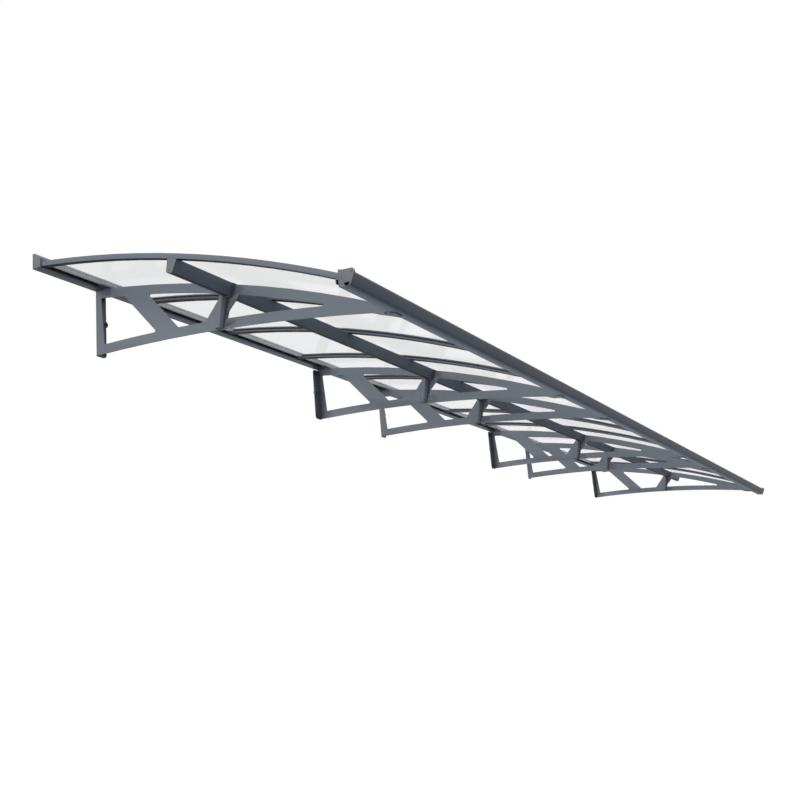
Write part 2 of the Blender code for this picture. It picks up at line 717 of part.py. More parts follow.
def web_holes():
    """The three openings of the web, between its chords, leg, diagonal and post."""
    top_radius = ARCH_RADIUS - BRACKET_TOP_DROP - TOP_CHORD
    low_centre, low_radius = bottom_centre(), BOTTOM_RADIUS + BOTTOM_CHORD

    def low_up(out):
        return low_centre.y + math.sqrt(low_radius**2 - (out - low_centre.x) ** 2)

    def bar(foot_out, width, angle, front_angle):
        """Bottom and top corners of a sloping bar's rear and front edges."""
        rear_low = Vector((foot_out, low_up(foot_out)))
        front_low = Vector((foot_out + width / math.sin(angle), rear_low.y))
        front_low = crossing(front_low, front_angle, low_centre, low_radius)
        rear_top = crossing(rear_low, angle, ARCH_CENTRE, top_radius)
        return rear_low, rear_top, front_low, crossing(front_low, front_angle, ARCH_CENTRE, top_radius)

    def hole(rear_low, rear_top, front_top, front_low, radii):
        """Outline from the rear bottom corner, up and round."""
        return rounded(
            [
                (*rear_low, radii[0]),
                (*rear_top, radii[1]),
                *arc_run(ARCH_CENTRE, top_radius, rear_top.x, front_top.x, HOLE_STEPS),
                (*front_top, radii[2]),
                *([(*front_low, radii[3])] if front_low else []),
                *arc_run(low_centre, low_radius, (front_low or front_top).x, rear_low.x, HOLE_STEPS),
            ]
        )

    corner, shoulder, tip = HOLE_CORNER_RADIUS, HOLE_SHOULDER_RADIUS, HOLE_TIP_RADIUS
    leg_low = Vector((LEG_WIDTH, low_up(LEG_WIDTH)))
    leg_top = crossing(leg_low, LEG_FRONT_ANGLE, ARCH_CENTRE, top_radius)
    brace = bar(DIAGONAL_OUT, DIAGONAL_WIDTH, DIAGONAL_ANGLE, DIAGONAL_ANGLE)
    post = bar(BEAM_OUT - POST_BACK, POST_WIDTH, POST_ANGLE, POST_FRONT_ANGLE)
    front = circles_meet(ARCH_CENTRE, top_radius, low_centre, low_radius)
    return [
        hole(leg_low, leg_top, brace[1], brace[0], (corner, corner, shoulder, corner)),
        hole(brace[2], brace[3], post[1], post[0], (corner, corner, corner, corner)),
        hole(post[2], post[3], front, None, (corner, corner, tip)),
    ]


def box(name, low, high):
    """A block between two corners."""
    work = bmesh.new()
    bmesh.ops.create_cube(work, size=1.0)
    low, high = Vector(low), Vector(high)
    work.transform(Matrix.Translation((low + high) / 2) @ Matrix.Diagonal((*(high - low), 1.0)))
    mesh = bpy.data.meshes.new(name)
    work.to_mesh(mesh)
    work.free()
    return placed(name, mesh)


def wall_flange(hand):
    """Plate on the wall, to one side of the web, with its screw holes and middle boss."""
    edge = -hand * WEB_THICKNESS / 2
    free = edge + hand * FLANGE_WIDTH
    low = -LEG_DROP - FLANGE_OVERHANG
    high = RAIL_BOTTOM - FLANGE_TOP_GAP
    plate = rounded(
        [
            (edge, low, 0.0),
            (free, low, FLANGE_CORNER_RADIUS),
            (free, high, FLANGE_CORNER_RADIUS),
            (edge, high, 0.0),
        ]
    )
    screws = [
        (hand * SCREW_INSET, low + BOTTOM_SCREW_RISE),
        (hand * BOSS_INSET, low + MIDDLE_SCREW_RISE),
        (hand * SCREW_INSET, high - TOP_SCREW_DROP),
    ]
    upright = Matrix(((1, 0, 0), (0, 0, -1), (0, 1, 0))).to_4x4()
    lay = Matrix.Translation((0.0, -FLANGE_THICKNESS / 2, 0.0)) @ upright
    flange = solid("flange", [plate], FLANGE_THICKNESS, lay)
    boss_lay = Matrix.Translation((0.0, -BOSS_THICKNESS / 2, 0.0)) @ upright
    boss = solid("boss", [circle(*screws[1], BOSS_DIAMETER / 2, BOSS_SIDES)], BOSS_THICKNESS, boss_lay)
    radius = SCREW_HOLE_DIAMETER / 2
    holes = [circle(*place, radius, SCREW_HOLE_SIDES) for place in screws]
    drills = [solid("drill", [hole], 4 * BOSS_THICKNESS, upright) for hole in holes]
    return [flange, boss], drills


def circle(across, up, radius, sides):
    """Points round a circle."""
    turns = [2 * math.pi * side / sides for side in range(sides)]
    return [Vector((across + radius * math.cos(t), up + radius * math.sin(t))) for t in turns]


def column():
    """Half-round swelling on both sides of the web, wider towards the beam that it carries."""
    chord = bottom_centre()
    head = on_beam(-COLUMN_HEAD_BACK, BEAM_HEIGHT)
    along = on_beam(1.0, 0.0) - on_beam(0.0, 0.0)
    work = bmesh.new()
    bmesh.ops.create_cone(work, cap_ends=True, segments=COLUMN_SIDES, radius1=1.0, radius2=1.0, depth=1.0)
    for corner in work.verts:
        if corner.co.z > 0:
            across = corner.co.x * COLUMN_HEAD_HALF_WIDTH
            out = head.x - corner.co.y * COLUMN_HALF_DEPTH
            up = head.y + (out - head.x) * along.y / along.x
        else:
            across = corner.co.x * COLUMN_FOOT_HALF_WIDTH
            out = BEAM_OUT - COLUMN_FOOT_BACK - corner.co.y * COLUMN_HALF_DEPTH
            up = chord.y + math.sqrt(BOTTOM_RADIUS**2 - (out - chord.x) ** 2) + BRACKET_EDGE_RADIUS
        corner.co = (across, -out, up)
    mesh = bpy.data.meshes.new("column")
    work.to_mesh(mesh)
    work.free()
    return placed("column", mesh)


def sole(hand):
    """Plate under the gutter, to one side of the web; its rear edge runs back to the web."""
    work = bmesh.new()
    bmesh.ops.create_cube(work, size=1.0)
    for corner in work.verts:
        far = corner.co.x * hand > 0
        back = FOOT_FAR_BACK if far else FOOT_BACK
        out = GUTTER_REAR + (FOOT_FRONT if corner.co.y < 0 else -back)
        below = FIT if corner.co.z > 0 else FIT + FOOT_THICKNESS
        across = FOOT_WIDTH - WEB_THICKNESS / 2 if far else -WEB_THICKNESS / 2
        corner.co = (hand * across, -out, foot_line(out, below))
    mesh = bpy.data.meshes.new("sole")
    work.to_mesh(mesh)
    work.free()
    return placed("sole", mesh)


def bracket_mesh(hand):
    """Cast bracket; its flange and foot point to +X where hand is 1, to -X where it is -1."""
    web = extruded("web", [web_outline(), *web_holes()], -WEB_THICKNESS / 2, WEB_THICKNESS / 2)
    plates, drills = wall_flange(hand)
    half = SADDLE_LENGTH / 2
    saddle = extruded("saddle", [rounded(beam_outline(grow=FIT + SADDLE_WALL))], -half, half)
    hook_low = seat_up(RAIL_DEPTH) + FIT
    hook = box(
        "hook",
        (-HOOK_WIDTH / 2, -RAIL_DEPTH - HOOK_REACH, hook_low),
        (HOOK_WIDTH / 2, -HOOK_REAR_OUT, hook_low + HOOK_THICKNESS),
    )
    reach = 2 * max(half, COLUMN_HEAD_HALF_WIDTH)
    slot = extruded("slot", [rounded(beam_outline(grow=FIT, rise=SADDLE_SLOT_RISE))], -reach, reach)
    combined(web, [*plates, saddle, column(), sole(hand), hook], "UNION")
    combined(web, [slot, *drills], "DIFFERENCE")
    mesh = web.data
    bpy.data.objects.remove(web)
    return mesh


def make_brackets():
    """Two brackets to a module, left and right handed, their flanges facing each other."""
    coat = material("bracket_coat", BRACKET_GREY, 0.42, 0.35)
    meshes = {hand: bracket_mesh(hand) for hand in (1, -1)}
    made = []
    for index in range(MODULE_COUNT):
        middle = SECTIONS_LEFT + (index + 0.5) * MODULE_LENGTH
        for hand in (1, -1):
            name = f"bracket_{len(made) + 1}"
            place = (middle - hand * BRACKET_FROM_MIDDLE, 0.0, 0.0)
            bracket = bpy.data.objects.new(name, meshes[hand])
            bracket.location = place
            bpy.context.scene.collection.objects.link(bracket)
            made.append(bracket)
    return finish(made, coat)


def finish(pieces, coat):
    """Gives each piece its material."""
    for piece in pieces:
        piece.data.materials.clear()
        piece.data.materials.append(coat)
    return pieces


def main():
    """Builds the canopy into its own collection."""
    clear_scene()
    pieces = make_rail() + make_beam() + make_gutter() + make_profiles() + make_panels()
    pieces += make_brackets()
    canopy = bpy.data.collections.new("door_canopy")
    bpy.context.scene.collection.children.link(canopy)
    for piece in pieces:
        bpy.context.scene.collection.objects.unlink(piece)
        canopy.objects.link(piece)


main()
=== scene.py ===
import math

import bmesh
import bpy
from mathutils import Matrix, Vector


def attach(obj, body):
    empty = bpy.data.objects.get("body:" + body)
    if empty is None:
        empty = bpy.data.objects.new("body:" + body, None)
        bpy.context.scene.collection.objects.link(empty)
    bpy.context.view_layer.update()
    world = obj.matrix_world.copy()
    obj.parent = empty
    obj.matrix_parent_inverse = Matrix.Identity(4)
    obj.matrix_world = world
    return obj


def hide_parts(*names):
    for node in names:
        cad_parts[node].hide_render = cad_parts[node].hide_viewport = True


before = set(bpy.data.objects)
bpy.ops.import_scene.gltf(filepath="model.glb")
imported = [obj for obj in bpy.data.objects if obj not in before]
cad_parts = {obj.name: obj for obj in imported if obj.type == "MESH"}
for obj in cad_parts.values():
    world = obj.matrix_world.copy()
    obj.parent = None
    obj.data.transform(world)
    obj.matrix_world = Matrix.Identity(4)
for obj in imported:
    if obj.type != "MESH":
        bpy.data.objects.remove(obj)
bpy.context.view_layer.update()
print("frame loaded:", len(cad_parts), "nodes")

# the arch that every panel and profile follows, seen from the side
arch = {
    "radius": 4.845,
    "centreBack": 0.685,  # behind the wall
    "topAtWall": -0.001,
    "rearOut": 0.012,
    "frontOut": 1.342,
    "steps": 57,
}
arch["centreUp"] = arch["topAtWall"] - math.sqrt(arch["radius"] ** 2 - arch["centreBack"] ** 2)

# how the roof is divided along the wall
bays = {"count": 12, "pitch": 0.556783, "left": -3.3407}
modules = {"count": 3, "length": 2.227133, "bracketFromMiddle": 0.796}


def archAngle(out):
    return math.asin((out + arch["centreBack"]) / arch["radius"])


# camera, at the photograph's viewing angle
camera = {
    "place": (-5.898, -2.860, -1.548),
    "aim": (-1.827, -0.690, -0.397),
    "roll": -4.89,
    "lens": 46.6,
    "sensor": 36,
}


def addCamera(values):
    made = bpy.data.objects.new("camera", bpy.data.cameras.new("camera"))
    made.data.sensor_width = values["sensor"]
    made.data.lens = values["lens"]
    place, aim = Vector(values["place"]), Vector(values["aim"])
    look = (aim - place).to_track_quat("-Z", "Y").to_matrix().to_4x4()
    roll = Matrix.Rotation(math.radians(values["roll"]), 4, "Z")
    made.matrix_world = Matrix.Translation(place) @ look @ roll
    bpy.context.scene.collection.objects.link(made)
    bpy.context.scene.camera = made
    bpy.context.scene.view_settings.view_transform = "Standard"


addCamera(camera)
print("camera placed")


# node helpers: a value is a socket to link, or a constant
def addNode(tree, kind, inputs=None, **settings):
    made = tree.nodes.new(kind)
    for name, value in settings.items():
        setattr(made, name, value)
    for name, value in (inputs or {}).items():
        socket = made.inputs[name]
        if isinstance(value, bpy.types.NodeSocket):
            tree.links.new(value, socket)
        else:
            socket.default_value = value
    return made


def newMaterial(name):
    made = bpy.data.materials.new(name)
    made.use_nodes = True
    tree = made.node_tree
    return made, tree, tree.nodes["Principled BSDF"]


def objectNoise(tree, scale, detail, stretch=(1.0, 1.0, 1.0)):
    place = addNode(tree, "ShaderNodeTexCoord").outputs["Object"]
    mapped = addNode(tree, "ShaderNodeMapping", {"Vector": place, "Scale": stretch}).outputs["Vector"]
    noise = addNode(tree, "ShaderNodeTexNoise", {"Vector": mapped, "Scale": scale, "Detail": detail})
    return noise.outputs["Fac"]


def blendColours(tree, factor, first, second):
    # a colour mix takes its colours at sockets 6 and 7, and gives the blend at 2
    mix = addNode(tree, "ShaderNodeMix", {0: factor}, data_type="RGBA")
    mix.inputs[6].default_value = (*first, 1.0)
    mix.inputs[7].default_value = (*second, 1.0)
    return mix.outputs[2]


noiseSpan = {"From Min": 0.3, "From Max": 0.7}  # where most of a noise's values lie


def spread(tree, factor, low, high):
    values = dict(noiseSpan, **{"Value": factor, "To Min": low, "To Max": high})
    return addNode(tree, "ShaderNodeMapRange", values).outputs["Result"]


def addBump(tree, shader, height, values):
    bump = {"Strength": values["bump"], "Distance": values["depth"], "Height": height}
    bump = addNode(tree, "ShaderNodeBump", bump)
    tree.links.new(bump.outputs["Normal"], shader.inputs["Normal"])


# coats and plastics: a clouded colour under a fine grain
coatFinish = {
    "cloudScale": 1.7,
    "cloudDetail": 3.0,
    "drift": (-0.07, 0.07),  # how far the colour drifts over a long section
    "grainScale": 950.0,
    "grainDetail": 2.0,
    "bump": 0.5,
    "depth": 0.00005,
    "roughness": (0.40, 0.50),
    "metallic": 0.15,
}
plasticFinish = {
    "cloudScale": 14.0,
    "cloudDetail": 4.0,
    "drift": (0.0, 0.1),
    "grainScale": 1800.0,
    "grainDetail": 1.0,
    "bump": 0.6,
    "depth": 0.00004,
    "roughness": (0.48, 0.60),
    "metallic": 0.0,
}


def grainedFinish(name, colour, values):
    made, tree, shader = newMaterial(name)
    cloud = spread(tree, objectNoise(tree, values["cloudScale"], values["cloudDetail"]), 0.0, 1.0)
    shades = [[part * (1 + drift) for part in colour] for drift in values["drift"]]
    tree.links.new(blendColours(tree, cloud, *shades), shader.inputs["Base Color"])
    grain = objectNoise(tree, values["grainScale"], values["grainDetail"])
    tree.links.new(spread(tree, grain, *values["roughness"]), shader.inputs["Roughness"])
    addBump(tree, shader, grain, values)
    shader.inputs["Metallic"].default_value = values["metallic"]
    return made


# a clear sheet that catches a little light, with faint streaks of painted light and shade across it
sheetFinish = {
    "streakScale": 2.2,
    "streakDetail": 2.0,
    "stretch": (1.6, 0.35, 0.35),
    "colours": ((0.66, 0.72, 0.80), (0.88, 0.92, 0.97)),
    "rippleScale": 9.0,
    "rippleDetail": 1.0,
    "bump": 0.15,
    "depth": 0.0004,
    "shader": {"Roughness": 0.07, "IOR": 1.58, "Alpha": 0.14},
}


def clearSheet(name, values):
    made, tree, shader = newMaterial(name)
    # painted light and shade: stretched streaks move the sheet's colour between a darker and a lighter
    # tint
    streak = objectNoise(tree, values["streakScale"], values["streakDetail"], values["stretch"])
    colour = blendColours(tree, spread(tree, streak, 0.0, 1.0), *values["colours"])
    tree.links.new(colour, shader.inputs["Base Color"])
    addBump(tree, shader, objectNoise(tree, values["rippleScale"], values["rippleDetail"]), values)
    for socket, value in values["shader"].items():
        shader.inputs[socket].default_value = value
    return made


# plain finishes: one noise moves the colour and the roughness
screwFinish = {
    "scale": 700.0,
    "detail": 3.0,
    "colours": ((0.040, 0.045, 0.052), (0.075, 0.082, 0.092)),
    "roughness": (0.30, 0.45),
    "metallic": 0.6,
}
# real rubber, which also paints the shade on the downward faces of the beams and profiles and inside the
# drain holes
rubberAndUnderShadeFinish = {
    "scale": 60.0,
    "detail": 5.0,
    "colours": ((0.008, 0.008, 0.009), (0.018, 0.019, 0.021)),
    "roughness": (0.62, 0.78),
    "metallic": 0.0,
}
stripFinish = {
    "scale": 40.0,
    "detail": 3.0,
    "colours": ((0.86, 0.89, 0.94), (0.93, 0.95, 1.0)),
    "roughness": (0.35, 0.5),
    "metallic": 0.0,
}
drawnFinish = {
    "scale": 600.0,
    "detail": 2.0,
    "stretch": (0.01, 1.0, 1.0),
    "colours": ((0.42, 0.43, 0.44), (0.56, 0.57, 0.58)),
    "roughness": (0.32, 0.46),
    "metallic": 1.0,
}


def plainFinish(name, values):
    made, tree, shader = newMaterial(name)
    stretch = values.get("stretch", (1.0, 1.0, 1.0))
    mixed = spread(tree, objectNoise(tree, values["scale"], values["detail"], stretch), 0.0, 1.0)
    tree.links.new(blendColours(tree, mixed, *values["colours"]), shader.inputs["Base Color"])
    tree.links.new(spread(tree, mixed, *values["roughness"]), shader.inputs["Roughness"])
    shader.inputs["Metallic"].default_value = values["metallic"]
    return made


# the coats differ a little from piece to piece; beyond that the beam's coat is lighter, painted light on
# its shaded front, and the profiles' coat and the caps' plastic are darker, painted shade
finishes = {
    "rail": grainedFinish("rail_coat_finish", (0.112, 0.133, 0.165), coatFinish),
    "beam": grainedFinish("beam_coat_finish", (0.150, 0.182, 0.235), coatFinish),
    "gutter": grainedFinish("gutter_coat_finish", (0.104, 0.126, 0.164), coatFinish),
    "profile": grainedFinish("profile_coat_finish", (0.090, 0.106, 0.128), coatFinish),
    "bracket": grainedFinish("bracket_coat_finish", (0.112, 0.130, 0.154), coatFinish),
    "cap": grainedFinish("cap_plastic_finish", (0.088, 0.101, 0.120), plasticFinish),
    "panel": clearSheet("clear_panel_finish", sheetFinish),
    "screw": plainFinish("screw_finish", screwFinish),
    "rubber": plainFinish("seal_rubber_and_under_shade_finish", rubberAndUnderShadeFinish),
    "strip": plainFinish("edge_strip_finish", stripFinish),
    "splice": plainFinish("splice_metal_finish", drawnFinish),
}
print("finishes made:", len(finishes))


def addPiece(name, mesh, replaced=()):
    mesh.name = name
    made = bpy.data.objects.new(name, mesh)
    bpy.context.scene.collection.objects.link(made)
    if replaced:
        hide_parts(*replaced)
    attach(made, "root")


def evaluatedMesh(made):
    bpy.context.view_layer.update()
    graph = bpy.context.evaluated_depsgraph_get()
    mesh = bpy.data.meshes.new_from_object(made.evaluated_get(graph))
    bpy.data.objects.remove(made)
    return mesh


# metal and plastic pieces: the solid's own form with eased edges
easedEdges = {
    "merge": 0.000002,
    "flatWithin": 0.4,
    "cutEvery": 0.15,
    "near": 0.00001,
    "easeAbove": 50,
    "innerAbove": 25,
    "segments": 2,
    "smoothBelow": 34,
}


def cutAcross(work):
    # broad faces with openings are cut across, so that no opening is filled in
    places = [corner.co.y for corner in work.verts]
    for index in range(1, int((max(places) - min(places)) / easedEdges["cutEvery"]) + 1):
        everything = work.verts[:] + work.edges[:] + work.faces[:]
        across = (0.0, -index * easedEdges["cutEvery"], 0.0)
        bmesh.ops.bisect_plane(work, geom=everything, plane_co=across, plane_no=(0.0, 1.0, 0.0))


def markEased(work, plainEnds, plainMeetings):
    # gives each edge that the bevel rounds the weight 1
    ends = [pick(corner.co.x for corner in work.verts) for pick in (min, max)]
    weight = work.edges.layers.float.new("bevel_weight_edge")
    for edge in work.edges:
        places = [corner.co.x for corner in edge.verts]
        onEnd = any(max(abs(x - end) for x in places) < easedEdges["near"] for end in ends)
        sharp = edge.calc_face_angle(0.0) > math.radians(easedEdges["easeAbove"])
        edge[weight] = 1.0 if sharp and not (plainEnds and onEnd) else 0.0
    if not plainMeetings:
        return
    innerBelow = -math.radians(easedEdges["innerAbove"])
    for corner in work.verts:
        if any(edge.calc_face_angle_signed(0.0) < innerBelow for edge in corner.link_edges):
            for edge in corner.link_edges:
                edge[weight] = 0.0


def easedMesh(node, width, recess=0.0, plainEnds=False, plainMeetings=False):
    # plain ends keep their sharp edges, so that no line shows where two lengths meet;
    # plain meetings keep the edges sharp that meet an inner corner, and broad faces flat
    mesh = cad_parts[node].data.copy()
    work = bmesh.new()
    work.from_mesh(mesh)
    bmesh.ops.remove_doubles(work, verts=work.verts, dist=easedEdges["merge"])
    flat = math.radians(easedEdges["flatWithin"])
    bmesh.ops.dissolve_limit(work, angle_limit=flat, verts=work.verts, edges=work.edges)
    cutAcross(work)
    for corner in work.verts:
        if abs(corner.co.x) > capRim["face"] - easedEdges["near"]:
            corner.co.x -= math.copysign(recess, corner.co.x)
    markEased(work, plainEnds, plainMeetings)
    work.to_mesh(mesh)
    work.free()
    smoothed(mesh)
    made = bpy.data.objects.new(node + "_draft", mesh)
    bpy.context.scene.collection.objects.link(made)
    bevel = made.modifiers.new("eased", "BEVEL")
    bevel.limit_method = "WEIGHT"
    bevel.width = width
    bevel.segments = easedEdges["segments"]
    bevel.use_clamp_overlap = True
    bevel.harden_normals = plainMeetings
    eased = evaluatedMesh(made)
    if not plainMeetings:
        smoothed(eased)
    return eased


def smoothed(mesh, below=easedEdges["smoothBelow"]):
    mesh.shade_smooth()
    mesh.set_sharp_from_angle(angle=math.radians(below))


def setFinish(mesh, finish):
    mesh.materials.clear()
    mesh.materials.append(finish)


# painted shade under the beams and the profiles: how far down a face must point to be painted black
paintedUnderShade = {"facingDown": 0.85}


def addPaintedUnderShade(mesh):
    # painted shade: the faces that point down take the black rubber finish, standing in for the shade
    # under the piece
    mesh.materials.append(finishes["rubber"])
    for face in mesh.polygons:
        if face.normal.z < -paintedUnderShade["facingDown"]:
            face.material_index = 1


def addEased(node, finish, slot, width, shadedBelow=False, **form):
    mesh = easedMesh(node, width, **form)
    setFinish(mesh, finishes[finish])
    if shadedBelow:
        addPaintedUnderShade(mesh)
    addPiece(node + "_finished", mesh, [node])


# end caps: a plate a little sunk inside a round rim, which also runs round the drain hole
capRim = {
    "face": 3.345,
    "facing": 0.99,
    "radius": 0.0009,
    "rounds": 3,
    "mitre": 0.5,
    "recess": 0.0007,
    "edge": 0.0004,
}


def capOutlines(node, side):
    # the closed runs of corners round the cap's outer face, as (y, z)
    work = bmesh.new()
    work.from_mesh(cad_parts[node].data)
    bmesh.ops.remove_doubles(work, verts=work.verts, dist=easedEdges["merge"])
    outer = {face for face in work.faces if face.normal.x * side > capRim["facing"]}
    following = {}
    for face in outer:
        for loop in face.loops:
            if loop.link_loop_radial_next.face not in outer:
                following[loop.vert] = loop.link_loop_next.vert
    runs = []
    while following:
        corner, after = following.popitem()
        run = [corner.co.yz.copy()]
        while after in following:
            run.append(after.co.yz.copy())
            after = following.pop(after)
        runs.append(run)
    work.free()
    return runs


def shrunk(run, by, side):
    # a run moved sideways into the cap's own material
    moved = []
    for index, corner in enumerate(run):
        before = (corner - run[index - 1]).normalized()
        after = (run[(index + 1) % len(run)] - corner).normalized()
        ways = [Vector((-way.y, way.x)) * side for way in (before, after)]
        middle = (ways[0] + ways[1]).normalized()
        moved.append(corner + middle * by / max(middle.dot(ways[0]), capRim["mitre"]))
    return moved


def addCapRim(node, side):
    curve = bpy.data.curves.new(node + "_rim", "CURVE")
    curve.dimensions = "3D"
    curve.bevel_depth = capRim["radius"]
    curve.bevel_resolution = capRim["rounds"]
    across = side * (capRim["face"] - capRim["radius"])
    for run in capOutlines(node, side):
        spline = curve.splines.new("POLY")
        spline.points.add(len(run) - 1)
        spline.use_cyclic_u = True
        for point, place in zip(spline.points, shrunk(run, capRim["radius"], side)):
            point.co = (across, *place, 1.0)
    made = bpy.data.objects.new(node + "_rim_draft", curve)
    bpy.context.scene.collection.objects.link(made)
    mesh = evaluatedMesh(made)
    mesh.shade_smooth()
    setFinish(mesh, finishes["cap"])
    addPiece(node + "_rim", mesh)


# a black tube in the rubber finish through each gutter cap's drain hole: painted shade, standing in for
# the shade inside the hole
drainShade = {"clear": 0.0002, "wall": 0.0008, "outer": 3.3442, "inner": 3.3220, "lowest": -0.4346}


def addDrainShade(end, side):
    # the drain hole is the run of the cap's face that reaches the least far up
    runs = capOutlines(f"gutter_cap_{end}", side)
    outline = min(runs, key=lambda run: max(place.y for place in run))
    mesh = bpy.data.meshes.new(f"drain_shade_tube_{end}")
    work = bmesh.new()
    rings = []
    for inset, reach in (("clear", "outer"), ("clear", "inner"), ("wall", "inner"), ("wall", "outer")):
        places = [(y, max(z, drainShade["lowest"])) for y, z in shrunk(outline, -drainShade[inset], side)]
        rings.append([work.verts.new((side * drainShade[reach], *place)) for place in places])
    for first, second in zip(rings, rings[1:] + rings[:1]):
        for index in range(len(outline)):
            work.faces.new((first[index - 1], first[index], second[index], second[index - 1]))
    bmesh.ops.recalc_face_normals(work, faces=work.faces)
    work.to_mesh(mesh)
    work.free()
    # painted shade: the tube is black so that the hole looks dark inside
    setFinish(mesh, finishes["rubber"])
    addPiece(mesh.name, mesh)


sections = {
    "wall_rail": {"finish": "rail", "slot": "rail_coat", "edge": 0.0005},
    "beam": {"finish": "beam", "slot": "beam_coat", "edge": 0.0004},
    "gutter": {"finish": "gutter", "slot": "gutter_coat", "edge": 0.0004},
}

for stem, values in sections.items():
    for index in range(modules["count"]):
        # the beams' downward faces get painted shade
        node, shadedBelow = f"{stem}_{index + 1}", stem == "beam"
        addEased(node, values["finish"], values["slot"], values["edge"], shadedBelow, plainEnds=True)
    for end, side in (("left", -1), ("right", 1)):
        node = f"{stem}_cap_{end}"
        addEased(node, "cap", "cap_coat", capRim["edge"], recess=capRim["recess"])
        addCapRim(node, side)
addDrainShade("left", -1)
addDrainShade("right", 1)
print("rail, beam and gutter finished")

profileEdge = 0.0006
profileNames = ["side_profile_left", "side_profile_right"]
profileNames += [f"joint_profile_{index:02d}" for index in range(1, bays["count"])]
for name in profileNames:
    # the profiles' downward faces get painted shade
    addEased(name, "profile", "profile_coat", profileEdge, shadedBelow=True)
print("profiles finished:", len(profileNames))

bracketEdge = 0.0012
for index in range(2 * modules["count"]):
    addEased(f"bracket_{index + 1}", "bracket", "bracket_coat", bracketEdge, plainMeetings=True)
print("brackets finished")

# the sleeves inside the joints keep the solid's own form, in bare drawn metal
for name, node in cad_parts.items():
    if "splice" in name:
        for place in node.material_slots:
            place.material = finishes["splice"]
print("sleeves finished")


# arched bars: a box bent along the arch, repeated along the wall
def archedBarTree():
    tree = bpy.data.node_groups.new("archedBars", "GeometryNodeTree")
    for label, kind in (
        ("Count", "NodeSocketInt"),
        ("Pitch", "NodeSocketFloat"),
        ("First", "NodeSocketFloat"),
        ("Width", "NodeSocketFloat"),
        ("Thickness", "NodeSocketFloat"),
        ("Radius", "NodeSocketFloat"),
        ("Rear Angle", "NodeSocketFloat"),
        ("Front Angle", "NodeSocketFloat"),
        ("Steps", "NodeSocketInt"),
        ("Centre Y", "NodeSocketFloat"),
        ("Centre Z", "NodeSocketFloat"),
        ("Finish", "NodeSocketMaterial"),
    ):
        tree.interface.new_socket(label, in_out="INPUT", socket_type=kind)
    tree.interface.new_socket("Geometry", in_out="OUTPUT", socket_type="NodeSocketGeometry")
    given = tree.nodes.new("NodeGroupInput").outputs

    def number(operation, first, second):
        inputs = {0: first, 1: second}
        return addNode(tree, "ShaderNodeMath", inputs, operation=operation).outputs[0]

    def place(x, y, z):
        return addNode(tree, "ShaderNodeCombineXYZ", {"X": x, "Y": y, "Z": z}).outputs[0]

    # the bar starts as a box of length 1 along Y, from -0.5 to 0.5
    box = {"Size": place(given["Width"], 1.0, given["Thickness"]), "Vertices Y": given["Steps"]}
    bar = addNode(tree, "GeometryNodeMeshCube", box).outputs["Mesh"]
    at = addNode(tree, "GeometryNodeInputPosition").outputs[0]
    across = addNode(tree, "ShaderNodeSeparateXYZ", {0: at}).outputs
    share = number("ADD", across["Y"], 0.5)
    sweep = number("SUBTRACT", given["Rear Angle"], given["Front Angle"])
    angle = number("ADD", number("MULTIPLY", share, sweep), given["Front Angle"])
    reach = number("ADD", across["Z"], given["Radius"])
    sine, cosine = (number(kind, angle, 0.0) for kind in ("SINE", "COSINE"))
    back = number("SUBTRACT", given["Centre Y"], number("MULTIPLY", reach, sine))
    up = number("ADD", given["Centre Z"], number("MULTIPLY", reach, cosine))
    bent = {"Geometry": bar, "Position": place(across["X"], back, up)}
    bent = addNode(tree, "GeometryNodeSetPosition", bent).outputs[0]
    row = {"Count": given["Count"], "Start Location": place(given["First"], 0.0, 0.0)}
    row["Offset"] = place(given["Pitch"], 0.0, 0.0)
    line = addNode(tree, "GeometryNodeMeshLine", row).outputs["Mesh"]
    copies = addNode(tree, "GeometryNodeInstanceOnPoints", {"Points": line, "Instance": bent})
    return finished(tree, copies, given["Finish"])


def finished(tree, copies, finish):
    # real copies with their material, as the tree's result
    real = addNode(tree, "GeometryNodeRealizeInstances", {"Geometry": copies.outputs[0]})
    painted = {"Geometry": real.outputs[0], "Material": finish}
    painted = addNode(tree, "GeometryNodeSetMaterial", painted)
    tree.links.new(painted.outputs[0], tree.nodes.new("NodeGroupOutput").inputs[0])
    return tree


def grownMesh(name, tree, start, values):
    # runs a node tree on a starting mesh, and returns its result as a plain mesh
    made = bpy.data.objects.new(name + "_draft", start)
    bpy.context.scene.collection.objects.link(made)
    grown = made.modifiers.new("grown", "NODES")
    grown.node_group = tree
    for socket in tree.interface.items_tree:
        if socket.in_out == "INPUT" and socket.name in values:
            grown[socket.identifier] = values[socket.name]
    return evaluatedMesh(made)


barTree = archedBarTree()


def addBars(name, values, replaced=()):
    middleRadius = arch["radius"] - values["drop"] - values["thickness"] / 2
    inputs = {
        "Count": values["count"],
        "Pitch": values["pitch"],
        "First": values["first"],
        "Width": values["width"],
        "Thickness": values["thickness"],
        "Radius": middleRadius,
        "Rear Angle": archAngle(values.get("rearOut", arch["rearOut"])),
        "Front Angle": archAngle(values.get("frontOut", arch["frontOut"])),
        "Steps": values.get("steps", arch["steps"]),
        "Centre Y": arch["centreBack"],
        "Centre Z": arch["centreUp"],
        "Finish": finishes[values["finish"]],
    }
    mesh = grownMesh(name, barTree, bpy.data.meshes.new(name), inputs)
    smoothed(mesh)
    addPiece(name, mesh, replaced)


